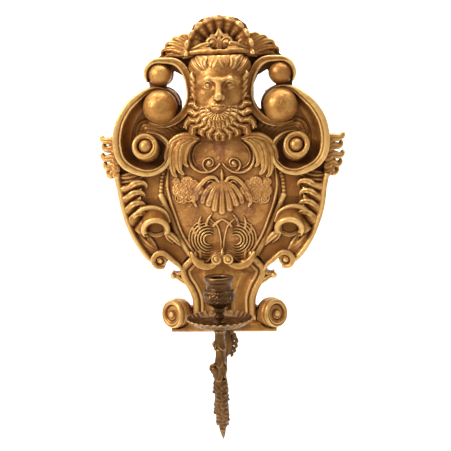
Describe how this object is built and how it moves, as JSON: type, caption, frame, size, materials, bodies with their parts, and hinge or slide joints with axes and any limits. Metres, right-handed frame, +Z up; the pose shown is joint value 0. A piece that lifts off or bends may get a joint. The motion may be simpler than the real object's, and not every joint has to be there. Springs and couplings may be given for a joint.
{
  "type": "wall sconce candle holder",
  "caption": "Carved giltwood wall plate with a mask, shell crest and scrolls, carrying a swinging cast bronze candle arm with a drip pan and a candle nozzle.",
  "frame": {"origin": "centre of the hanging hole in the plane of the wall", "axes": "+X to the viewer's right, +Y into the wall, +Z up; the front of the plate faces -Y"},
  "size_m": [0.36, 0.2014, 0.607],
  "materials": {
    "gilt_wood": "worn water gilding over red-brown bole on carved wood",
    "bare_wood": "aged bare softwood",
    "bronze": "dark brown patinated cast bronze, rubbed bright on the high points",
    "iron": "dark forged iron"
  },
  "bodies": {
    "plate": {"backboard": "gilt_wood", "field_panel": "gilt_wood", "waist_panel": "gilt_wood", "base_rail": "gilt_wood", "mask": "gilt_wood", "crest_shell": "gilt_wood", "crest_scrolls": "gilt_wood", "acanthus_drops": "gilt_wood", "flute_strips": "gilt_wood", "lower_flares": "gilt_wood", "base_curls": "gilt_wood", "waist_buds": "gilt_wood", "locating_dowels": "bare_wood", "hanging_plate": "iron", "hanging_screws": "iron", "arm_bracket": "bronze", "bracket_screws": "iron", "hinge_pin": "iron", "crest_leaf_left": "gilt_wood", "crest_leaf_right": "gilt_wood", "brow_strap_left": "gilt_wood", "brow_strap_right": "gilt_wood", "upper_ball_left": "gilt_wood", "upper_ball_right": "gilt_wood", "lower_ball_left": "gilt_wood", "lower_ball_right": "gilt_wood", "outer_rim_left": "gilt_wood", "outer_rim_right": "gilt_wood", "scoop_panel_left": "gilt_wood", "scoop_panel_right": "gilt_wood", "knob_roll_left": "gilt_wood", "knob_roll_right": "gilt_wood", "side_leaf_left": "gilt_wood", "side_leaf_right": "gilt_wood", "husk_band_left": "gilt_wood", "husk_band_right": "gilt_wood", "hollow_roll_left": "gilt_wood", "hollow_roll_right": "gilt_wood", "hook_scroll_left": "gilt_wood", "hook_scroll_right": "gilt_wood", "foot_volute_left": "gilt_wood", "foot_volute_right": "gilt_wood"},
    "arm": {"arm_branch": "bronze", "arm_saucer": "bronze", "candle_spindle": "iron", "arm_husk_upper": "bronze", "arm_husk_lower": "bronze", "arm_tail": "bronze", "arm_bud": "bronze", "arm_leaf": "bronze"},
    "pan": {"drip_pan": "bronze"},
    "nozzle": {"nozzle_cup": "bronze", "nozzle_stem": "bronze"}
  },
  "joints": [
    {"name": "arm_swing", "type": "hinge", "parent": "plate", "child": "arm", "pos_m": [0, -0.047, -0.338], "axis": [0, 0, 1], "range_deg": [-50, 50]},
    {"name": "pan_lift", "type": "slide", "parent": "arm", "child": "pan", "axis": [0, 0, 1], "range_m": [0, 0.03]},
    {"name": "nozzle_lift", "type": "slide", "parent": "pan", "child": "nozzle", "axis": [0, 0, 1], "range_m": [0, 0.03]}
  ]
}
